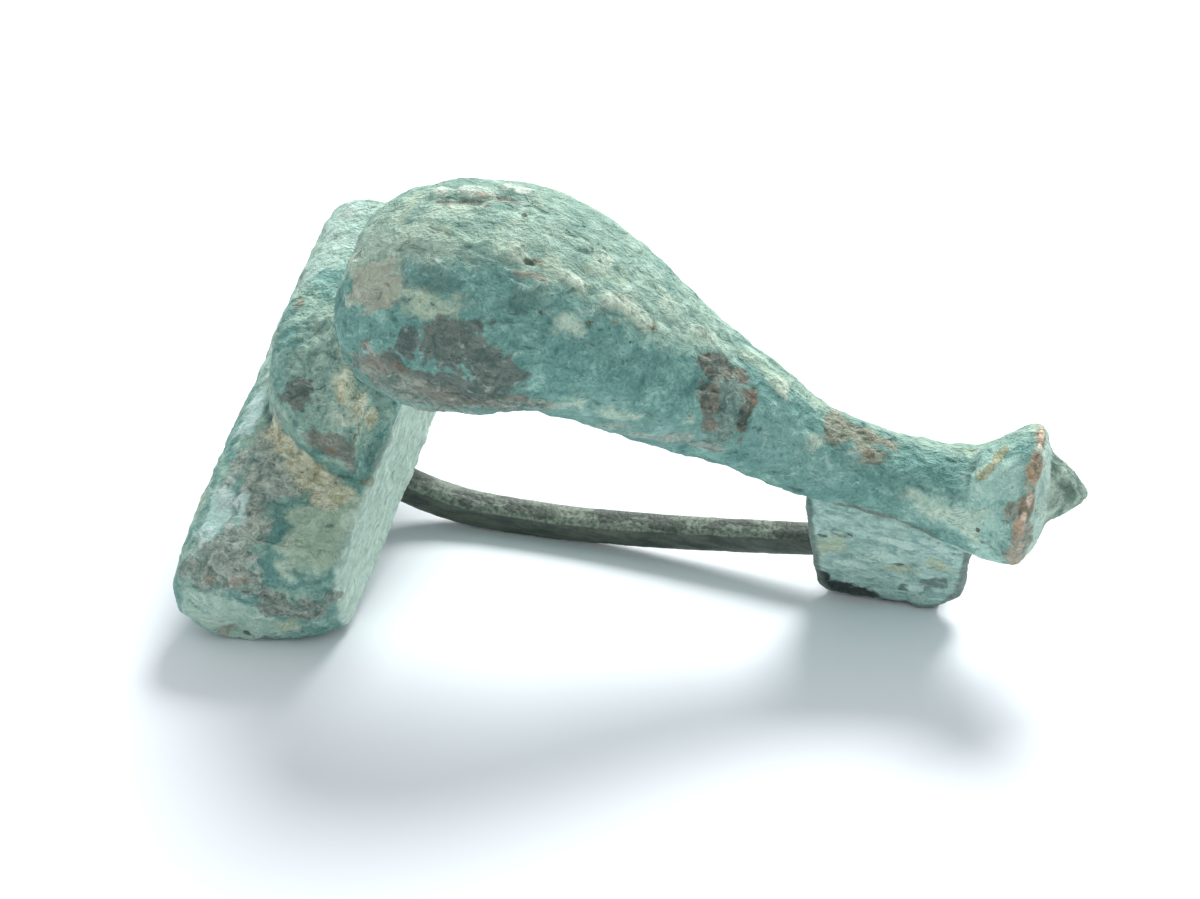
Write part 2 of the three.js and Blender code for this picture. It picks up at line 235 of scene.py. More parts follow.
# painted highlight on the tops of the scales
SCALE_TOP_HIGHLIGHT = seen(188, 212, 200)
PIN_SIDE = seen(40, 50, 44), seen(75, 84, 74)
PIN_TOP = seen(64, 78, 68), seen(126, 136, 120)
PIN_BLACK = seen(36, 44, 40)
RUST = seen(80, 60, 44), seen(156, 122, 88)


# ------------------------------------------------------- patches of corrosion, painted shade and light
class Skin:
    """A kind of corrosion that lies in patches. A few stand for painted shade and painted light instead.

    hollow, top: its colours in its hollows and on its high points
    spots: (U, V, W), then one half-size or three
    cover: how far it hides what is under it
    ragged, soft: how torn and how blurred its edge is
    raised: how far it stands proud, mm, or minus how deep it lies
    exact: it lies just where its spots are, and its outline doesn't wander
    """

    def __init__(self, hollow, top, spots, cover=0.9, ragged=1.0, soft=0.16, raised=0.0,
                 exact=False):
        self.hollow, self.top = seen(*hollow), seen(*top)
        self.spots = spots
        self.cover, self.ragged, self.soft, self.raised = cover, ragged, soft, raised
        self.exact = exact

    def mask(self, m, torn):
        """1 inside its patches and 0 outside them; torn is what torn_edge gives."""
        at, wander, tear = torn
        at = at if self.exact else wander
        nearest = m.lowest(*[m.from_spot(at, centre, half) for centre, half in self.spots])
        return m.smooth(nearest + tear * self.ragged, 1 + self.soft, 1 - self.soft)


# In the order in which they lie over one another.
SKINS = {
    # smooth, tight skins, and painted light on the end of the head
    "sage": Skin((118, 138, 124), (168, 184, 168), [
        ((5.0, -1.6, 16.4), (2.2, 1.6, 1.4)), ((7.0, -2.0, 17.0), (1.6, 1.0, 1.2)),
        ((3.4, -0.6, 15.4), (1.0, 1.8, 1.4)),
    ], cover=0.6, soft=0.4),
    "taupe": Skin((146, 150, 132), (174, 178, 160), [
        ((4.8, -3.7, 15.5), (1.4, 1.25, 1.6)), ((4.0, -3.2, 14.9), (0.9, 1.2, 1.2)),
    ], ragged=1.1, soft=0.22, exact=True),
    "olive-cream": Skin((148, 170, 148), (184, 196, 172), [
        ((7.6, -4.5, 15.7), (1.5, 1.0, 0.9)),
    ], cover=0.75, soft=0.4),
    "pale foot": Skin((152, 192, 180), (186, 214, 200), [
        ((36.0, -1.2, 7.2), (1.5, 2.0, 1.7)), ((34.4, -2.6, 5.5), (2.3, 1.0, 1.2)),
        ((36.0, -2.8, 5.4), (1.4, 1.2, 1.5)), ((36.6, -3.2, 3.8), (1.2, 0.8, 1.1)),
    ], cover=0.88, soft=0.6),
    "pale bow": Skin((110, 150, 143), (142, 176, 168), [
        ((25.4, -1.9, 8.2), (2.4, 1.2, 1.7)), ((19.6, -4.2, 9.0), (2.2, 1.0, 1.0)),
        ((28.0, -2.0, 6.4), (1.6, 0.8, 1.2)), ((16.2, -5.2, 11.0), (2.8, 0.9, 0.9)),
    ], cover=0.65, soft=0.6),
    # painted light: a paler colour on the end of the head, which faces down and lies in shade
    "head end painted light": Skin((158, 186, 170), (196, 216, 200), [
        ((0.6, -14.6, -0.6), (4.6, 1.0, 2.4)),
    ], cover=0.75, soft=0.3),
    "outline": Skin((62, 108, 104), (88, 134, 128), [
        ((2.5, -11.1, 3.6), (2.3, 2.9, 1.9)), ((2.0, -8.0, 3.9), (1.6, 1.0, 1.0)),
        ((1.2, -13.4, 3.0), (1.2, 0.7, 1.0)),
    ], cover=0.75, ragged=0.6),
    "olive": Skin((132, 156, 138), (164, 182, 162), [
        ((2.9, -11.0, 3.7), (1.6, 2.25, 1.7)), ((3.3, -9.0, 3.8), (1.2, 1.3, 1.2)),
    ], cover=1.0, ragged=0.55),
    "collar": Skin((96, 126, 116), (166, 188, 172), [
        ((1.0, -3.6, 8.0), (2.2, 1.6, 1.6)), ((2.4, -5.2, 7.0), (1.8, 1.2, 1.8)),
        ((0.6, -1.5, 8.2), (1.6, 1.6, 1.2)),
    ], cover=0.7, soft=0.5, raised=0.04),
    "lip": Skin((166, 178, 156), (204, 212, 190), [
        ((2.6, -4.3, 8.4), (0.8, 0.55, 0.8)), ((3.3, -5.1, 7.0), (0.5, 0.5, 0.8)),
        ((4.0, -5.4, 5.8), (0.5, 0.5, 0.6)),
    ], cover=0.75, soft=0.3, exact=True),
    # grey-brown crusts, the pale strips beside them, dark grime, and painted shade under the catchplate
    "crust": Skin((96, 110, 102), (180, 186, 174), [
        ((-1.5, -5.6, 3.8), (1.3, 1.5, 1.4)), ((-0.8, -7.7, 3.9), (1.4, 1.8, 1.4)),
        ((-0.9, -9.6, 3.8), (1.2, 1.6, 1.4)), ((-0.8, -11.6, 3.7), (1.2, 1.8, 1.5)),
        ((-1.5, -13.2, 3.2), (2.0, 1.2, 1.4)), ((-2.8, -14.0, 2.3), (1.3, 0.8, 1.3)),
        ((-2.9, -7.6, 3.3), (0.6, 1.8, 1.0)), ((0.6, -8.2, 3.9), (0.8, 1.0, 1.0)),
    ], cover=0.82, ragged=0.9, raised=0.12),
    "strip": Skin((160, 198, 188), (200, 222, 212), [
        ((-2.9, -10.6, 3.2), (0.8, 2.3, 1.0)), ((-1.4, -10.3, 3.7), (0.45, 1.0, 0.6)),
        ((-3.4, -3.2, 3.0), (0.8, 1.6, 1.0)),
    ], cover=0.8, soft=0.3),
    "far head": Skin((158, 192, 178), (196, 220, 206), [
        ((-0.5, 9.5, 3.4), (5.5, 5.5, 3.0)), ((-3.5, 3.0, 2.6), (2.0, 3.0, 2.0)),
    ], cover=0.7, soft=0.5),
    "rim crust": Skin((78, 92, 84), (150, 156, 146), [
        ((1.5, -13.9, 1.2), (1.4, 0.7, 0.8)), ((3.2, -13.5, 0.5), (1.2, 0.8, 1.1)),
        ((4.2, -12.7, 1.3), (0.6, 0.8, 0.9)), ((0.2, -14.1, 1.9), (1.0, 0.6, 0.7)),
    ], cover=0.85, raised=0.05),
    "brown": Skin((62, 76, 72), (110, 115, 106), [
        ((9.6, -5.8, 14.6), (2.3, 1.3, 1.3)), ((11.4, -6.1, 13.6), (1.2, 1.0, 1.3)),
        ((8.5, -6.4, 12.3), (2.6, 1.0, 0.9)), ((11.4, -6.4, 11.9), (2.2, 1.0, 0.7)),
        ((6.9, -5.8, 14.2), (0.7, 0.8, 0.6)), ((5.9, -6.2, 12.9), (1.0, 1.0, 0.8)),
        ((0.1, -4.8, 7.3), (0.9, 0.9, 0.8)),
    ], cover=0.88, ragged=0.9, raised=0.02),
    "bulb crust": Skin((86, 98, 90), (158, 162, 150), [
        ((6.8, -6.3, 11.4), (2.8, 1.2, 0.9)), ((10.6, -6.3, 11.0), (2.6, 1.2, 0.7)),
        ((4.2, -5.6, 11.6), (1.0, 1.0, 1.0)), ((13.4, -6.1, 11.3), (1.2, 1.0, 0.6)),
        ((8.0, -5.0, 10.5), (3.8, 1.8, 1.0)),
    ], cover=0.8, ragged=1.0, soft=0.3, raised=0.04),
    "reddish": Skin((98, 102, 94), (136, 134, 122), [
        ((4.9, -5.8, 12.5), (0.9, 1.1, 1.0)), ((2.2, -6.5, 5.9), (1.5, 0.9, 0.8)),
        ((3.1, -6.6, 5.3), (0.9, 0.7, 0.8)), ((9.4, -6.4, 11.2), (2.4, 1.0, 0.5)),
        ((12.7, -6.2, 12.0), (0.8, 0.7, 0.5)),
    ], cover=0.85),
    "patch core": Skin((72, 94, 88), (138, 154, 142), [
        ((22.3, -2.2, 10.0), (1.1, 1.7, 1.5)), ((22.4, -3.6, 8.9), (1.0, 0.8, 0.7)),
    ], cover=0.75, ragged=0.8, soft=0.25, raised=0.05),
    "bow patch": Skin((70, 82, 76), (136, 130, 116), [
        ((21.95, -4.0, 8.9), (0.4, 0.6, 0.6)), ((23.3, -3.2, 8.6), (0.4, 0.7, 0.6)),
        ((21.25, -1.3, 11.1), (0.5, 0.6, 0.9)), ((21.4, -2.4, 10.5), (0.5, 0.8, 1.0)),
        ((21.7, -3.3, 9.7), (0.5, 0.7, 0.7)), ((21.9, -0.9, 11.0), (0.9, 0.6, 0.6)),
        ((22.7, -0.6, 10.4), (0.7, 0.6, 0.5)), ((23.3, -1.2, 9.8), (0.45, 0.8, 0.7)),
        ((23.2, -2.2, 9.4), (0.4, 0.8, 0.8)),
    ], cover=0.9, ragged=0.6, raised=-0.06),
    "top patch": Skin((98, 100, 82), (160, 156, 136), [
        ((27.9, 0.4, 7.0), (1.0, 1.2, 0.8)), ((29.2, 0.3, 6.7), (1.2, 0.8, 0.7)),
        ((30.4, 0.2, 6.4), (0.9, 0.5, 0.5)), ((29.6, -0.7, 6.5), (1.0, 0.5, 0.5)),
    ], cover=0.8, ragged=0.95, soft=0.25, raised=-0.05),
    "grey strip": Skin((114, 128, 120), (164, 170, 158), [
        ((18.4, -4.2, 8.7), (1.0, 0.6, 0.45)), ((19.8, -3.9, 8.5), (1.3, 0.6, 0.5)),
        ((17.0, -4.6, 9.3), (1.2, 0.6, 0.4)), ((21.6, -3.5, 7.9), (1.2, 0.6, 0.4)),
    ], cover=0.7, ragged=0.7),
    "plate grey": Skin((74, 94, 92), (112, 132, 128), [
        ((34.3, -1.3, -2.3), (1.1, 0.4, 0.8)), ((33.0, -1.3, -3.4), (1.2, 0.4, 0.5)),
    ], cover=0.8, ragged=0.8),
    "deep": Skin((56, 84, 80), (90, 116, 108), [
        ((4.4, -5.3, 3.8), (0.5, 1.2, 0.6)), ((4.45, -3.6, 3.8), (0.4, 0.9, 0.5)),
        ((12.2, -3.4, 16.0), (1.6, 0.7, 0.6)), ((15.6, -2.3, 15.3), (1.4, 0.5, 0.6)),
        ((7.6, -3.2, 16.6), (1.3, 0.6, 0.6)), ((10.0, -1.9, 17.0), (1.5, 0.5, 0.5)),
    ], cover=0.45, ragged=1.4, soft=0.4),
    # painted shade: black on the underside of the catchplate's rounded lower edge, which sees little light
    "plate underside shade": Skin((18, 24, 25), (46, 54, 54), [
        ((29.6, -1.2, -4.7), (1.9, 0.7, 0.75)), ((32.2, -1.2, -5.2), (2.4, 0.9, 0.5)),
        ((28.0, -1.2, -3.9), (0.6, 0.7, 0.6)),
        ((34.0, -1.2, -5.3), (1.6, 0.9, 0.35)),
    ], cover=0.95, ragged=0.45, exact=True),
    # pale flakes, the ridge on the bulb and the mark on the foot
    "white flake": Skin((136, 156, 140), (198, 208, 188), [
        ((16.9, -1.1, 14.9), (1.1, 0.9, 0.8)), ((16.2, -1.3, 15.2), (0.7, 0.6, 0.6)),
        ((17.6, -1.6, 14.2), (0.8, 0.6, 0.5)), ((14.2, -1.4, 16.2), (1.1, 0.5, 0.5)),
        ((11.0, -1.2, 17.1), (0.6, 0.5, 0.5)), ((3.0, -3.8, 14.0), (0.5, 0.5, 0.5)),
        ((2.7, -1.8, 14.6), (0.5, 0.7, 0.6)), ((3.1, -5.2, 7.1), (0.7, 0.5, 0.6)),
        ((-2.4, -1.7, 7.5), (0.4, 0.5, 0.4)), ((24.7, 0.6, 9.0), (0.9, 0.6, 0.5)),
        ((20.9, 0.5, 11.8), (1.0, 0.6, 0.5)),
    ], cover=0.85, ragged=0.9, soft=0.3, raised=0.12),
    "ridge shade": Skin((80, 90, 82), (116, 112, 100), [
        ((8.1, 1.6, 17.0), (0.9, 0.3, 0.4)), ((9.6, 2.4, 16.9), (0.8, 0.3, 0.4)),
        ((6.9, 1.3, 16.9), (0.6, 0.25, 0.4)),
    ], cover=0.8, ragged=0.5, exact=True, raised=-0.1),
    "ridge": Skin((164, 184, 170), (206, 216, 200), [
        ((8.0, 2.4, 16.9), (1.1, 0.45, 0.5)), ((9.9, 3.4, 16.5), (1.1, 0.45, 0.5)),
        ((6.4, 2.1, 16.7), (0.7, 0.4, 0.5)),
    ], cover=0.9, ragged=0.6, exact=True, raised=0.25),
    "plate flake": Skin((160, 194, 184), (190, 213, 202), [
        ((32.0, -1.3, 0.5), (1.2, 0.4, 0.33)), ((31.3, -1.3, -0.9), (1.0, 0.4, 0.42)),
        ((34.5, -1.3, 0.8), (0.8, 0.4, 0.25)), ((29.9, -1.3, 0.8), (0.6, 0.4, 0.25)),
        ((29.7, -1.3, -2.2), (0.9, 0.4, 0.25)), ((33.2, -1.3, -3.1), (0.5, 0.4, 0.35)),
        ((33.9, -1.2, 1.9), (0.8, 0.4, 0.2)), ((33.6, -1.3, -1.8), (0.5, 0.4, 0.2)),
        ((30.4, -1.3, -1.4), (0.6, 0.4, 0.2)), ((35.4, -1.3, -0.2), (0.5, 0.4, 0.2)),
        ((28.6, -1.3, 1.6), (0.6, 0.4, 0.2)), ((31.6, -1.3, 2.0), (0.8, 0.4, 0.16)),
    ], cover=1.0, ragged=0.4, raised=0.09, exact=True),
    "cream": Skin((154, 178, 160), (198, 212, 192), [
        ((15.1, 0.7, 15.8), (0.7, 0.6, 0.5)), ((18.5, 0.5, 13.6), (0.8, 0.6, 0.6)),
        ((14.6, -3.5, 15.3), (0.9, 0.6, 0.7)), ((7.6, 0.8, 17.1), (0.8, 0.5, 0.5)),
        ((6.2, 0.2, 17.0), (0.6, 0.5, 0.5)), ((1.3, -12.2, 3.7), (0.45, 0.5, 0.5)),
        ((2.1, -13.1, 3.2), (0.6, 0.6, 0.6)), ((15.0, -5.3, 11.6), (0.9, 0.6, 0.6)),
        ((17.2, -4.9, 10.4), (0.9, 0.6, 0.5)), ((18.3, -4.4, 10.5), (0.6, 0.4, 0.4)),
        ((32.5, -2.1, 5.5), (0.9, 0.5, 0.4)), ((33.6, -2.2, 5.2), (1.0, 0.5, 0.5)),
        ((35.2, -2.6, 5.4), (0.9, 0.5, 0.7)), ((35.8, -2.9, 4.8), (0.6, 0.5, 0.6)),
        ((26.8, -1.1, 7.4), (0.5, 0.5, 0.5)), ((4.4, -9.4, 3.7), (0.4, 1.0, 0.5)),
        ((20.4, -3.1, 9.6), (0.5, 0.4, 0.4)),
    ], cover=0.7, ragged=0.8, soft=0.5, raised=0.03),
    "squiggle": Skin((132, 140, 108), (196, 194, 162), [
        ((36.5, 0.1, 7.9), (0.6, 0.35, 0.35)), ((36.15, -0.3, 7.7), (0.28, 0.5, 0.35)),
        ((35.9, -0.75, 7.4), (0.45, 0.3, 0.35)), ((35.5, -1.0, 7.1), (0.4, 0.32, 0.35)),
    ], cover=0.95, ragged=0.35, raised=0.14, exact=True),
}

# Earth, bare metal, a painted highlight on the rim, and pits, which lie over the painted shade of the creases.
EARTHS = {
    "ochre": Skin((158, 154, 118), (216, 218, 192), [
        ((-1.2, -5.0, 3.8), (0.8, 0.8, 0.8)), ((-0.3, -5.9, 3.9), (0.9, 0.75, 0.8)),
        ((0.7, -6.9, 3.9), (0.95, 0.75, 0.8)), ((1.8, -7.7, 3.9), (1.1, 0.85, 0.8)),
        ((2.8, -8.4, 3.9), (1.1, 0.9, 0.8)), ((2.7, -4.6, 8.0), (0.5, 0.6, 0.9)),
        ((3.4, -4.5, 6.9), (0.5, 0.7, 0.8)), ((3.9, -4.3, 5.9), (0.4, 0.6, 0.7)),
    ], cover=0.9, ragged=0.8, soft=0.3, exact=True),
    "stain": Skin((150, 156, 118), (182, 188, 152), [
        ((28.4, -1.3, -0.7), (0.7, 0.4, 0.9)), ((34.1, -1.3, -0.6), (0.9, 0.4, 0.35)),
        ((32.3, -1.3, -1.6), (0.9, 0.4, 0.3)), ((2.0, -14.2, -0.6), (0.9, 0.6, 0.7)),
    ], cover=0.6, ragged=0.8, soft=0.5),
    "rim copper": Skin((92, 86, 70), (168, 146, 120), [
        ((38.1, 1.1, 8.5), (0.32, 1.0, 0.45)), ((38.1, -1.0, 8.5), (0.4, 0.9, 0.5)),
        ((38.05, -2.8, 7.4), (0.45, 0.7, 0.8)), ((37.9, -3.5, 6.4), (0.4, 0.5, 0.6)),
    ], cover=0.9, ragged=0.6, exact=True),
    # bare copper of the rim, with its shine painted in as pale highlight spots
    "rim highlight": Skin((206, 170, 138), (244, 224, 204), [
        ((38.1, 1.3, 8.5), (0.16, 0.5, 0.3)), ((38.1, 0.2, 8.7), (0.12, 0.4, 0.3)),
        ((38.1, -2.5, 7.7), (0.16, 0.3, 0.4)), ((38.0, -3.1, 6.9), (0.16, 0.3, 0.4)),
    ], cover=0.8, ragged=0.4, soft=0.35, exact=True),
    "rim brown": Skin((104, 106, 96), (152, 148, 134), [
        ((38.2, -3.4, 5.7), (0.6, 0.7, 1.1)), ((38.1, -3.7, 4.3), (0.7, 0.8, 1.1)),
        ((37.3, -2.9, 7.0), (0.4, 0.5, 0.5)), ((38.0, -3.0, 2.8), (0.5, 0.8, 0.5)),
    ], cover=0.85, ragged=0.7, exact=True),
    "copper": Skin((104, 98, 84), (150, 128, 106), [
        ((6.4, -6.2, 12.9), 0.45), ((12.5, -2.3, 16.6), (0.7, 0.28, 0.3)),
        ((11.4, -2.5, 16.8), (0.7, 0.22, 0.3)), ((12.0, -1.2, 16.9), (0.4, 0.4, 0.3)),
        ((-2.1, -14.0, 2.6), 0.32), ((-0.4, -13.9, 2.6), 0.42), ((-3.6, -14.0, 1.6), 0.3),
        ((4.3, -6.9, 3.7), (0.4, 0.5, 0.35)), ((-1.9, 0.4, 8.1), (0.3, 0.7, 0.3)),
        ((23.5, -1.2, 9.8), (0.25, 0.5, 0.4)), ((21.7, -3.3, 9.6), (0.3, 0.3, 0.3)),
        ((23.2, -2.5, 9.2), (0.3, 0.4, 0.4)), ((29.4, -0.5, 6.7), (0.7, 0.2, 0.25)),
        ((2.4, -6.8, 5.2), (0.4, 0.3, 0.2)), ((21.3, -3.6, 7.6), (1.1, 0.3, 0.15)),
        ((8.0, 2.4, 16.8), (0.8, 0.2, 0.2)), ((16.5, -2.6, 14.6), (0.3, 0.2, 0.2)),
        ((18.2, -1.3, 13.8), (0.3, 0.2, 0.2)), ((2.0, -7.4, 4.0), (0.3, 0.3, 0.3)),
        ((-1.3, -14.4, -1.5), (0.5, 0.6, 0.5)),
    ], cover=0.6, ragged=0.9, soft=0.3),
    "seam": Skin((84, 88, 80), (128, 124, 112), [
        ((29.6, -1.8, 3.75), (2.6, 1.2, 0.3)),
        ((28.6, -2.0, 3.55), (1.9, 0.8, 0.28)), ((31.2, -2.0, 3.45), (1.9, 0.8, 0.28)),
        ((33.4, -2.0, 3.3), (1.2, 0.8, 0.2)),
    ], cover=0.7, ragged=0.35, exact=True),
    "pit": Skin((52, 66, 58), (92, 92, 70), [
        ((10.9, 1.4, 17.1), 0.16), ((12.0, -1.5, 16.9), (0.35, 0.2, 0.3)),
        ((13.2, -3.7, 15.9), 0.15), ((15.4, -3.1, 15.1), 0.13), ((17.4, -2.7, 13.9), 0.1),
        ((27.9, -1.3, -0.2), (0.3, 0.3, 0.12)), ((32.2, -1.3, -1.4), (0.3, 0.3, 0.15)),
        ((29.3, -1.3, 0.2), (0.22, 0.3, 0.1)), ((34.9, -1.3, 0.6), (0.3, 0.3, 0.1)),
        ((18.3, -1.4, 13.7), 0.12), ((35.9, -2.9, 5.0), 0.15), ((31.5, -2.2, 5.4), 0.16),
        ((-0.4, -14.5, -1.9), (0.32, 0.6, 0.28)), ((0.6, -14.5, -2.0), (0.2, 0.5, 0.16)),
    ], cover=0.85, ragged=0.5, raised=-0.12, exact=True),
}

WANDER = 2.2  # how widely the outlines of patches wander, mm


def torn_edge(m, at):
    """Where patches are looked up: the places, the same places shifted so that outlines
    wander, and the noise that tears their edges."""
    coarse = m.noise(at, 1.1, 1, twist=0.6).swing(1.5)
    fine = m.noise(at, 0.4, 7, detail=2, rough=0.5).swing(0.8)
    drift = m.noise(at, 2.2, 8, detail=2, rough=0.5, out="Color")
    shift = m.vector("SUBTRACT", drift, (0.5, 0.5, 0.5))
    wander = m.vector("MULTIPLY_ADD", shift, (WANDER, WANDER, WANDER), at)
    return at, wander, coarse + fine


def scales(m, at):
    """Small overlapping flakes that run along the bow, 0 to 1."""
    return m.noise(at, 0.72, 4, rough=0.62, twist=0.8, stretch=(1.5, 1, 1))


def worms(m, at):
    """Knotted ridges of thick crust, 0 to 1."""
    return m.noise(at, 0.8, 5, twist=1.5)


# -------------------------------------------------------------------- surfaces
WELD = 1e-6  # points nearer than this become one, m

# Corrosion stops the mouths of the bore with plugs, mm.
PLUG_RADIUS = 0.9
PLUG_LENGTH = 1.0
PLUG_SIDES = 24
PLUG_ENDS = (-14.25, 13.75)  # V of their outer ends

# Rounds of smoothing.
NEAR_ROUNDS = 8  # for the neighbourhood that an edge stands proud of
BLUR_ROUNDS = 3  # for what is kept on the mesh

RELIEF_STRENGTH = 1.0  # 1 is the relief at its full height


def copy_of(node, name):
    """A welded copy of a CAD node's mesh, as a new object."""
    mesh = frame["nodes"][node].data.copy()
    mesh.name = name
    mesh.materials.clear()
    work = bmesh.new()
    work.from_mesh(mesh)
    bmesh.ops.remove_doubles(work, verts=work.verts, dist=WELD)
    work.to_mesh(mesh)
    work.free()
    made = bpy.data.objects.new(name, mesh)
    bpy.context.scene.collection.objects.link(made)
    return made


def settled(piece):
    """The piece with its modifiers' result as its mesh."""
    graph = bpy.context.evaluated_depsgraph_get()
    mesh = bpy.data.meshes.new_from_object(piece.evaluated_get(graph))
    piece.modifiers.clear()
    piece.data = mesh
    return piece


def filled(piece):
    """The casting with the mouths of its bore stopped by corrosion."""
    work = bmesh.new()
    work.from_mesh(piece.data)
    turn = Matrix((AXIS_U, AXIS_W, -AXIS_V)).transposed().to_4x4()
    for end in PLUG_ENDS:
        middle = end - math.copysign(PLUG_LENGTH / 2, end)
        turn.translation = place(HINGE_POINT[0], middle, HINGE_POINT[2])
        bmesh.ops.create_cone(
            work,
            cap_ends=True,
            segments=PLUG_SIDES,
            radius1=PLUG_RADIUS * MM,
            radius2=PLUG_RADIUS * MM,
            depth=PLUG_LENGTH * MM,
            matrix=turn,
        )
    work.to_mesh(piece.data)
    work.free()
    return piece


def resurfaced(piece, cell, rounds):
    """An even mesh of cell mm over the piece, its facets and sharp edges eased by smoothing."""
    remesh = piece.modifiers.new("even skin", "REMESH")
    remesh.mode = "VOXEL"
    remesh.voxel_size = cell * MM
    remesh.use_smooth_shade = True
    ease = piece.modifiers.new("ease", "SMOOTH")
    ease.factor = 0.5
    ease.iterations = rounds
    return settled(piece)


def keep_edges(mesh):
    """Keeps on the mesh how far each point stands proud of its neighbourhood ('edge',
    mm, minus in a crease) and how far it faces the bow's back ('up', -1 to 1)."""
    count = len(mesh.vertices)

    def read(items, key, kind, width):
        flat = np.empty(len(items) * width, kind)
        items.foreach_get(key, flat)
        return flat.reshape(-1, width)

    at = read(mesh.vertices, "co", float, 3)
    normal = read(mesh.vertices, "normal", float, 3)
    a, b = read(mesh.edges, "vertices", int, 2).T
    degree = np.bincount(a, minlength=count) + np.bincount(b, minlength=count)

    def spread(field):
        total = np.bincount(a, field[b], count) + np.bincount(b, field[a], count)
        return total / degree

    calm = at
    for _ in range(NEAR_ROUNDS):
        calm = np.stack([spread(calm[:, k]) for k in range(3)], axis=1)
    proud = ((at - calm) * normal).sum(axis=1) / MM
    up = normal @ np.array(AXIS_W)
    for _ in range(BLUR_ROUNDS):
        proud, up = spread(proud), spread(up)
    for name, field in (("edge", proud), ("up", up)):
        layer = mesh.attributes.new(name, "FLOAT", "POINT")
        layer.data.foreach_set("value", field.astype(np.float32))


def relief_tree(name, height, material):
    """A Geometry Nodes tree that lifts each point along its normal by height(m, at) mm
    times its Strength, and gives the result the material."""
    tree = bpy.data.node_groups.new(name, "GeometryNodeTree")
    tree.interface.new_socket("Geometry", in_out="INPUT", socket_type="NodeSocketGeometry")
    tree.interface.new_socket("Strength", in_out="INPUT", socket_type="NodeSocketFloat")
    tree.interface.new_socket("Geometry", in_out="OUTPUT", socket_type="NodeSocketGeometry")
    m = Maker(tree)
    given = tree.nodes.new("NodeGroupInput")
    piece, strength = (Value(m, given.outputs[key]) for key in ("Geometry", "Strength"))
    at = m.brooch_frame(m.node("GeometryNodeInputPosition"))
    lift = height(m, at) * strength
    along = m.vector("SCALE", m.node("GeometryNodeInputNormal"), Scale=lift * MM)
    moved = m.node("GeometryNodeSetPosition", None, {"Geometry": piece, "Offset": along})
    whole = m.node("GeometryNodeRealizeInstances", None, {"Geometry": moved})
    dressed = m.node("GeometryNodeSetMaterial", None, {"Geometry": whole, "Material": material})
    result = tree.nodes.new("NodeGroupOutput")
    tree.links.new(dressed.socket, result.inputs["Geometry"])
    return tree


def roughen(piece, tree):
    """Works the tree's relief into the piece's mesh."""
    relief = piece.modifiers.new("relief", "NODES")
    relief.node_group = tree
    for item in tree.interface.items_tree:
        if item.in_out == "INPUT" and item.name == "Strength":
            relief[item.identifier] = RELIEF_STRENGTH
    settled(piece)


# Heights of the casting's relief from its hollows to its tops, mm.
LUMPS, BUMPS, SCALES, KNOTS = 0.3, 0.4, 0.26, 0.6
BUMPS_SPARED, SCALES_SPARED = 0.24, 0.16  # how much lower they are on tight skins
TIGHT_SKINS = ("taupe", "olive", "sage")
KNOTTED_SKINS = (
    ("crust", "rim crust", "top patch", "collar", "bulb crust"),
    ("bow patch", "patch core"),
)
SUNK = 0.02  # how far all of it is set back, mm

SMALL_LUMPS = 0.14  # on the pin and the axle, mm


def casting_height(m, at):
    """Relief of the corroded casting, mm."""
    torn = torn_edge(m, at)
    raised = {name: skin for name, skin in {**SKINS, **EARTHS}.items() if skin.raised}
    mask = {name: skin.mask(m, torn) for name, skin in raised.items()}
    tight = m.highest(*[SKINS[name].mask(m, torn) for name in TIGHT_SKINS])
    worm = worms(m, at)
    height = m.noise(at, 3.2, 2, detail=2).swing(LUMPS)
    height = height + m.noise(at, 1.2, 3).swing(BUMPS - tight * BUMPS_SPARED)
    height = height + scales(m, at).swing(SCALES - tight * SCALES_SPARED)
    for names in KNOTTED_SKINS:
        knotted = m.highest(*[mask[name] for name in names])
        height = height + (worm - 0.5) * knotted * KNOTS
    for name, skin in raised.items():
        height = height + mask[name] * skin.raised
    return height - SUNK


def small_height(m, at):
    """Relief of the pin and the axle, mm."""
    return m.noise(at, 1.2, 6, detail=4, rough=0.6).swing(SMALL_LUMPS)


# ------------------------------------------------------------------- materials
# The casting's parts, as soft steps from none of the part to all of it, mm.
FACE_U, FACE_FRONT_U, FACE_W = (4.2, 4.45), (4.9, 4.7), (4.1, 3.6)
PLATE_U, PLATE_W, PLATE_V = (27.0, 27.3), (3.2, 2.9), (-0.9, -1.1)
PLATE_EDGE_U, PLATE_EDGE_W = (26.6, 27.0), (3.4, 3.0)
DISC_U = (38.2, 38.4)
RIM_U, RIM_FRONT_U = (37.3, 37.6), (38.6, 38.4)
KNOB_ROOT = (38.4, 0.2, 5.55)
KNOB_RADIUS = (2.15, 1.9)
FAR_V = (3.0, 5.5)
HEAD_SLOPE, HEAD_TOP = 0.8, (13.5, 10.5)  # head and collar: W and this share of U
UPPER, UNDERNEATH = (-0.35, 0.25), (-0.55, -0.8)  # of 'up'

# Where teal side and pale back meet: it runs from one U and V to the other, mm.
MEETING_U, MEETING_V, MEETING_SOFT = (16.0, 26.0), (-2.4, 0.7), (-0.7, 0.7)
# On the head there is more of the back's colour towards the far end.
HEAD_PALER_V, HEAD_PALER = (0.0, 8.0), (0.0, 0.12)

# Steps of the 'edge' kept on the mesh, mm.
CREASE_SHADE_STEPS, PROUD, PLATE_PROUD = (-0.025, -0.07), (0.045, 0.1), (0.03, 0.07)

# Steps across a noise, between which most of its values lie.
WIDE, MEDIUM, NARROW = (0.3, 0.7), (0.34, 0.66), (0.35, 0.65)

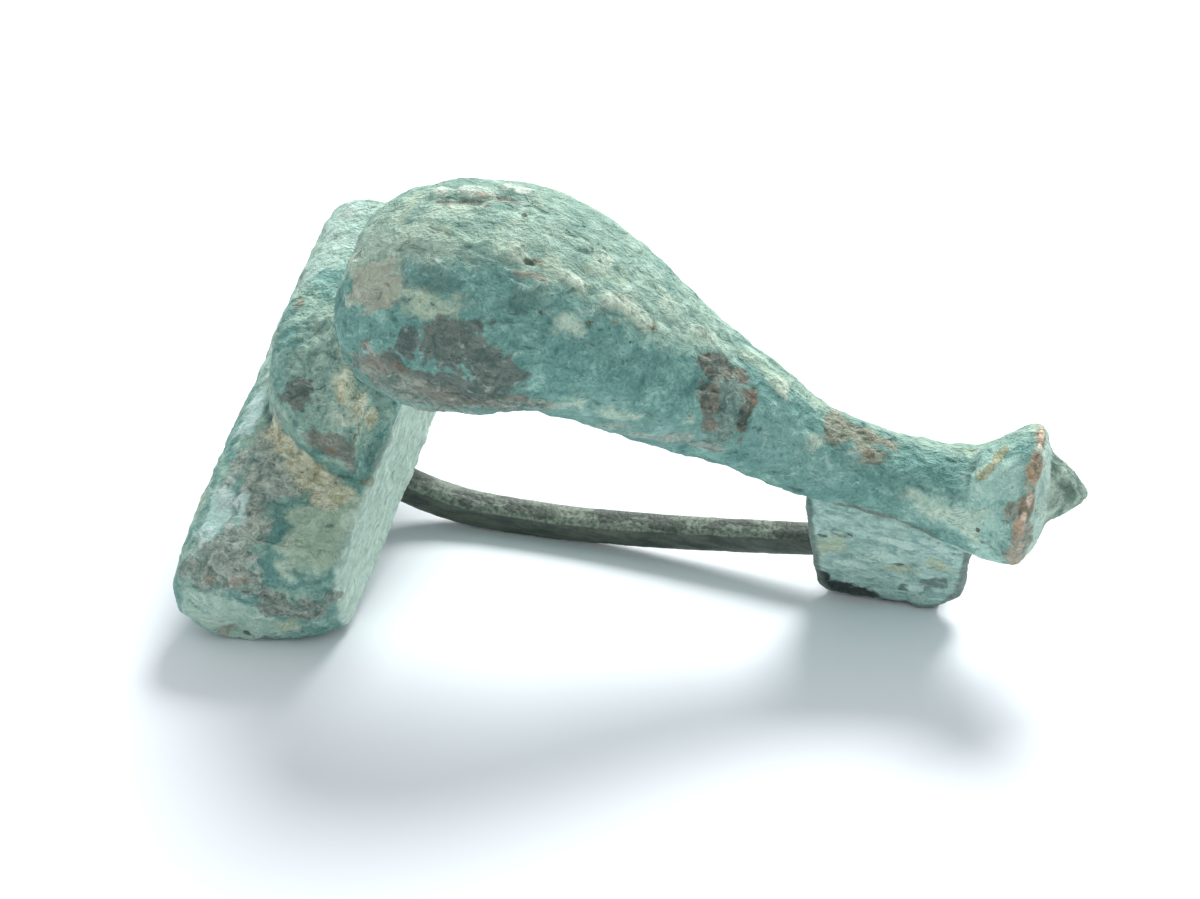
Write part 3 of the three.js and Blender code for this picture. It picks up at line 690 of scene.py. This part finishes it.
# How far each layer hides what is under it.
YELLOW_COVER, TEAL_COVER, GRIME_COVER, CREASE_SHADE_COVER = 0.55, 0.5, 0.8, 0.8
RUBBED_COVER, PLATE_EDGE_COVER, WORN_COVER, BLOTCH_COVER = 0.5, 0.7, 0.85, 0.7

# Marks of the scales: dark lines round them, painted shade in their hollows, dark specks and painted highlight on
# their tops, and how much weaker they are on the flat parts.
SCALE_LINE, LINE_WIDTH = 0.47, 0.035  # the level of the noise that the lines follow
LINES, HOLLOW_SHADE, SPECKS, TOP_HIGHLIGHT = 0.32, 0.6, 0.45, 0.34
LINES_SPARED, HOLLOW_SHADE_SPARED, TOP_HIGHLIGHT_SPARED = 0.32, 0.5, 0.26
FACE_SPARED, PLATE_SPARED = 0.6, 0.3

SPECULAR = 0.35  # of the casting
CASTING_ROUGHNESS, PIN_ROUGHNESS, AXLE_ROUGHNESS = (0.62, 0.86), (0.4, 0.65), (0.7, 0.9)
CASTING_BUMP, PIN_BUMP, AXLE_BUMP = 0.24, 0.06, 0.1  # depth, mm


def new_material(name):
    """A material, the Maker of its nodes, its surface node, and places on it in mm."""
    made = bpy.data.materials.new(name)
    made.use_nodes = True
    m = Maker(made.node_tree)
    surface = made.node_tree.nodes["Principled BSDF"]
    at = m.brooch_frame(m.node("ShaderNodeTexCoord", None, None, "Object"))
    return made, m, surface, at


def finish_surface(m, surface, colour, roughness, bump_height, bump_depth):
    """Feeds colour, roughness and a bump of bump_depth mm into the surface."""
    bump = m.node(
        "ShaderNodeBump",
        None,
        {"Strength": 1.0, "Distance": bump_depth * MM, "Height": bump_height},
    )
    for name, value in (("Base Color", colour), ("Roughness", roughness), ("Normal", bump)):
        m.tree.links.new(value.socket, surface.inputs[name])


class Ground:
    """What the casting's colours are worked out from: places, shape, noises and parts."""

    def __init__(self, m, at):
        self.at = at
        self.torn = torn_edge(m, at)
        self.u, self.v, self.w = m.split(at)
        self.edge, self.up = m.attribute("edge"), m.attribute("up")
        self.scale, self.worm = scales(m, at), worms(m, at)
        self.cloud = m.noise(at, 3.4, 11)
        self.mottle = m.noise(at, 1.0, 13, detail=4, rough=0.6, twist=0.5)
        self.grain = m.noise(at, 0.16, 12, rough=0.6)
        self.face = (
            m.smooth(self.u, *FACE_U) * m.smooth(self.u, *FACE_FRONT_U) * m.smooth(self.w, *FACE_W)
        )
        self.plate = (
            m.smooth(self.u, *PLATE_U) * m.smooth(self.w, *PLATE_W) * m.smooth(self.v, *PLATE_V)
        )


def bronze_green(m, g):
    """Teal sides, and a paler, yellower back."""
    speckle = g.mottle.swing(0.8) + g.grain.swing(0.5) + g.scale.swing(0.3)
    side = m.mix(m.smooth(speckle, -0.2, 0.22), *TEAL_SIDE)
    back = m.mix(m.smooth(speckle + g.scale.swing(0.5), -0.25, 0.25), *PALE_BACK)
    yellow = m.smooth(m.noise(g.at, 1.8, 16), 0.52, 0.66)
    back = m.mix(yellow * YELLOW_COVER, back, BACK_YELLOW)
    teal = m.smooth(m.noise(g.at, 2.4, 18), 0.5, 0.38)
    back = m.mix(teal * TEAL_COVER, back, BACK_TEAL)
    # they meet along the near side of the bulb, and past the middle of the foot
    line = m.smooth(g.u, *MEETING_U, *MEETING_V)
    over = m.smooth(g.v - line + g.cloud.swing(3.0) + g.scale.swing(1.6), *MEETING_SOFT)
    # on the head and the collar they share the top
    head = m.smooth(g.w + g.u * HEAD_SLOPE, *HEAD_TOP)
    paler = m.smooth(g.v, *HEAD_PALER_V, *HEAD_PALER)
    patchy = m.smooth(g.cloud * 0.6 + g.mottle * 0.4 + paler, 0.4, 0.6)
    over = over * (1 - head) + patchy * head
    return m.mix(over * m.smooth(g.up, *UPPER), side, back)


def flat_parts(m, g, colour):
    """The pale inner face of the head, the flaky catchplate, the disc and its knob."""
    rubbed = m.noise(g.at, 0.3, 14, rough=0.6, stretch=(1, 3.5, 1))
    colour = m.mix(g.face, colour, m.mix(m.smooth(rubbed, *WIDE), *INNER_FACE))
    sheets = m.noise(g.at, 0.5, 15, twist=1.2, stretch=(2, 1, 1)) + g.grain.swing(0.3)
    colour = m.mix(g.plate, colour, m.mix(m.smooth(sheets, *WIDE), *CATCHPLATE))

    front = m.smooth(g.u, *DISC_U)
    across = m.vector("MULTIPLY", m.vector("SUBTRACT", g.at, KNOB_ROOT), (0, 1, 1))
    from_knob = m.vector("LENGTH", across, out="Value") + g.mottle.swing(0.5)
    knob = front * m.smooth(from_knob, *KNOB_RADIUS)
    high = m.smooth(g.mottle, *NARROW)
    colour = m.mix(front, colour, m.mix(high, *DISC))
    return m.mix(knob, colour, m.mix(high, *KNOB))


def grimy(m, g, colour):
    """Grey-brown crust here and there on the far side and underneath."""
    unseen = m.highest(m.smooth(g.v, *FAR_V), m.smooth(g.up, *UNDERNEATH))
    patches = m.smooth(m.noise(g.at, 2.4, 19, detail=4, rough=0.6, twist=0.4), 0.56, 0.62)
    grime = m.mix(m.smooth(g.worm, 0.36, 0.64), *GRIME)
    return m.mix(patches * unseen * GRIME_COVER, colour, grime)


def patched(m, g, colour, skins):
    """Patches of the skins over the colour."""
    high = m.smooth(g.worm * 0.6 + g.mottle * 0.4 + g.grain.swing(0.3), *MEDIUM)
    for skin in skins.values():
        cover = skin.mask(m, g.torn) * (skin.cover * 0.8 + g.mottle * (skin.cover * 0.4))
        colour = m.mix(cover, colour, m.mix(high, skin.hollow, skin.top))
    return colour


def worn_edges(m, g, colour):
    """Edges rubbed pale, those of the catchplate grimy, and the disc's rim worn to copper."""
    proud = m.smooth(g.edge + g.mottle.swing(0.08), *PROUD)
    rim = m.smooth(g.u, *RIM_U) * m.smooth(g.u, *RIM_FRONT_U)
    colour = m.mix(proud * (1 - rim) * RUBBED_COVER, colour, RUBBED)
    plate_proud = m.smooth(g.edge + g.mottle.swing(0.06), *PLATE_PROUD)
    around_plate = m.smooth(g.u, *PLATE_EDGE_U) * m.smooth(g.w, *PLATE_EDGE_W)
    colour = m.mix(plate_proud * around_plate * PLATE_EDGE_COVER, colour, PLATE_EDGE)
    worn = m.smooth(g.mottle + g.grain.swing(0.4), 0.46, 0.56) * proud * rim
    return m.mix(worn * WORN_COVER, colour, m.mix(g.grain, *WORN_RIM))


def scale_marks(m, g):
    """Dark lines and specks on the scales, painted shade in their hollows and painted highlight on their tops."""
    flat = g.face * FACE_SPARED + g.plate * PLATE_SPARED
    from_line = m.math("ABSOLUTE", g.scale - SCALE_LINE)
    line = m.smooth(from_line, LINE_WIDTH, 0.0) * m.smooth(g.mottle, 0.46, 0.6)
    # painted shade in the hollows of the scales
    hollow = m.smooth(g.scale, 0.4, 0.26)
    speck = m.smooth(m.cells(g.at, 0.85, 17), 0.12, 0.06) * m.smooth(g.cloud, 0.4, 0.6)
    # painted highlight on the tops of the scales
    top = m.smooth(g.scale + g.grain.swing(0.3), 0.58, 0.74)
    dark_marks_and_shade = m.highest(
        line * (LINES - flat * LINES_SPARED),
        hollow * (HOLLOW_SHADE - flat * HOLLOW_SHADE_SPARED),
        speck * SPECKS,
    )
    return dark_marks_and_shade, top * (TOP_HIGHLIGHT - flat * TOP_HIGHLIGHT_SPARED)


def casting_material():
    """Green bronze under crusts, painted shade in creases, earth, worn edges, and the marks of its scales with
    painted shade and highlight.
    """
    made, m, surface, at = new_material("corroded bronze")
    g = Ground(m, at)
    colour = grimy(m, g, flat_parts(m, g, bronze_green(m, g)))
    # creases are darkened to dark green with painted shade, and earth lies over it
    crease_shade = m.smooth(g.edge + g.mottle.swing(0.03), *CREASE_SHADE_STEPS)
    colour = m.mix(crease_shade * CREASE_SHADE_COVER, patched(m, g, colour, SKINS), CREASE_SHADE)
    colour = worn_edges(m, g, patched(m, g, colour, EARTHS))
    # painted shade in the scales' hollows and painted highlight on their tops
    dark_marks_and_shade, scale_highlight = scale_marks(m, g)
    colour = m.mix(scale_highlight, m.mix(dark_marks_and_shade, colour, DARK_MARK_AND_HOLLOW_SHADE), SCALE_TOP_HIGHLIGHT)

    roughness = m.smooth(g.grain, *WIDE, *CASTING_ROUGHNESS)
    bump = g.scale * 1.3 + g.mottle * 1.2 + g.worm * 0.8 + g.grain * 0.5 - dark_marks_and_shade * 0.4
    finish_surface(m, surface, colour, roughness, bump, CASTING_BUMP)
    surface.inputs["Specular IOR Level"].default_value = SPECULAR
    return made


def pin_material():
    """Dark sides, a paler top and black blotches."""
    made, m, surface, at = new_material("dark pin bronze")
    up = m.attribute("up")
    fine = m.noise(at, 0.22, 21, detail=4, rough=0.6)
    streak = m.noise(at, 0.5, 22, detail=4, rough=0.6, stretch=(4, 1, 1))
    side = m.mix(m.smooth(streak + fine.swing(0.5), *WIDE), *PIN_SIDE)
    top = m.mix(m.smooth(fine, *WIDE), *PIN_TOP)
    colour = m.mix(m.smooth(up + streak.swing(0.35), 0.5, 0.66), side, top)
    blotch = m.noise(at, 1.4, 23, rough=0.6, stretch=(2, 1, 1)) + (up - 0.5) * 0.25
    colour = m.mix(m.smooth(blotch, 0.57, 0.64) * BLOTCH_COVER, colour, PIN_BLACK)
    roughness = m.smooth(fine, *WIDE, *PIN_ROUGHNESS)
    finish_surface(m, surface, colour, roughness, fine + streak, PIN_BUMP)
    return made


def axle_material():
    made, m, surface, at = new_material("axle rust")
    fine = m.noise(at, 0.3, 31, detail=4, rough=0.6)
    colour = m.mix(m.smooth(fine, *WIDE), *RUST)
    roughness = m.smooth(fine, *WIDE, *AXLE_ROUGHNESS)
    finish_surface(m, surface, colour, roughness, fine, AXLE_BUMP)
    return made


# ---------------------------------------------------------------------- pieces
# The width of each piece's mesh cells, mm, and its rounds of smoothing.
CASTING_MESH, PIN_MESH, AXLE_MESH = (0.187, 2), (0.09, 2), (0.1, 3)


def dress(piece, node, body, mesh, tree):
    """The piece made even and rough, in the node's place."""
    piece = resurfaced(piece, *mesh)
    keep_edges(piece.data)
    roughen(piece, tree)
    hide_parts(node)
    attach(piece, body)


dress(
    filled(copy_of("bow_casting", "patinated_casting")),
    "bow_casting", "brooch", CASTING_MESH,
    relief_tree("casting relief", casting_height, casting_material()),
)
dress(
    copy_of("pin", "patinated_pin"),
    "pin", "pin", PIN_MESH,
    relief_tree("pin relief", small_height, pin_material()),
)
dress(
    copy_of("hinge_axle", "rusted_axle"),
    "hinge_axle", "brooch", AXLE_MESH,
    relief_tree("axle relief", small_height, axle_material()),
)


# ------------------------------------------------------------ floor and lights
# Lengths are in metres.
FLOOR_HALF = 0.6
FLOOR_COLOUR = (0.86, 0.89, 0.92, 1)
FLOOR_ROUGHNESS = 0.9
ROOM_COLOUR = (0.93, 0.97, 1.0, 1)
ROOM_STRENGTH = 0.72
LIGHT_AZIMUTH = 6.0  # from +Y towards +X, degrees
LIGHT_HEIGHT = 46.0  # degrees
LIGHT_DISTANCE = 0.6
LIGHT_SIZE = 0.28
LIGHT_POWER = 4.2  # watts


def towards(azimuth, height, front, side, top):
    """The direction that turns from front to side by the azimuth, and up by the height,
    in degrees."""
    turn, rise = math.radians(azimuth), math.radians(height)
    return (
        math.sin(turn) * math.cos(rise) * side
        + math.cos(turn) * math.cos(rise) * front
        + math.sin(rise) * top
    )


floor_mesh = bpy.data.meshes.new("floor")
corners = [(x * FLOOR_HALF, y * FLOOR_HALF, 0) for x, y in ((-1, -1), (1, -1), (1, 1), (-1, 1))]
floor_mesh.from_pydata(corners, [], [(0, 1, 2, 3)])
floor = bpy.data.objects.new("floor", floor_mesh)
bpy.context.scene.collection.objects.link(floor)
floor_material = bpy.data.materials.new("white paper")
floor_material.use_nodes = True
floor_surface = floor_material.node_tree.nodes["Principled BSDF"]
floor_surface.inputs["Base Color"].default_value = FLOOR_COLOUR
floor_surface.inputs["Roughness"].default_value = FLOOR_ROUGHNESS
floor_surface.inputs["Specular IOR Level"].default_value = 0.0
floor_mesh.materials.append(floor_material)

world = bpy.data.worlds.new("soft room")
bpy.context.scene.world = world
world.use_nodes = True
room = world.node_tree.nodes["Background"]
room.inputs["Color"].default_value = ROOM_COLOUR
room.inputs["Strength"].default_value = ROOM_STRENGTH
bpy.context.scene.view_settings.view_transform = "Standard"

to_light = towards(
    LIGHT_AZIMUTH, LIGHT_HEIGHT, Vector((0, 1, 0)), Vector((1, 0, 0)), Vector((0, 0, 1))
)
lamp_data = bpy.data.lights.new("window", "AREA")
lamp_data.shape = "DISK"
lamp_data.size = LIGHT_SIZE
lamp_data.energy = LIGHT_POWER
lamp = bpy.data.objects.new("window", lamp_data)
lamp.location = to_light * LIGHT_DISTANCE
lamp.rotation_mode = "QUATERNION"
lamp.rotation_quaternion = to_light.to_track_quat("Z", "Y")
bpy.context.scene.collection.objects.link(lamp)

# ---------------------------------------------------------------------- camera
# It looks at a point of the brooch frame, from an angle round its W axis and a
# height above its UV plane. Lengths are in mm and angles in degrees.
AIM = (15.179, 0.0, 1.6)
CAMERA_DISTANCE = 127.67
CAMERA_AZIMUTH = 14.711  # from -V towards +U
CAMERA_HEIGHT = 50.648
CAMERA_ROLL = 0.085
CAMERA_LENS = 70.44
SENSOR_WIDTH = 36
CLIP_START = 5

back = towards(CAMERA_AZIMUTH, CAMERA_HEIGHT, -AXIS_V, AXIS_U, AXIS_W)
right = towards(CAMERA_AZIMUTH, 0.0, AXIS_U, AXIS_V, AXIS_W)
turned = Matrix((right, back.cross(right), back)).transposed()
roll = Matrix.Rotation(math.radians(CAMERA_ROLL), 3, "Z")
camera_data = bpy.data.cameras.new("camera")
camera_data.lens = CAMERA_LENS
camera_data.sensor_width = SENSOR_WIDTH
camera_data.clip_start = CLIP_START * MM
camera = bpy.data.objects.new("camera", camera_data)
camera.location = place(*AIM) + back * CAMERA_DISTANCE * MM
camera.rotation_mode = "QUATERNION"
camera.rotation_quaternion = (turned @ roll).to_quaternion()
bpy.context.scene.collection.objects.link(camera)
bpy.context.scene.camera = camera
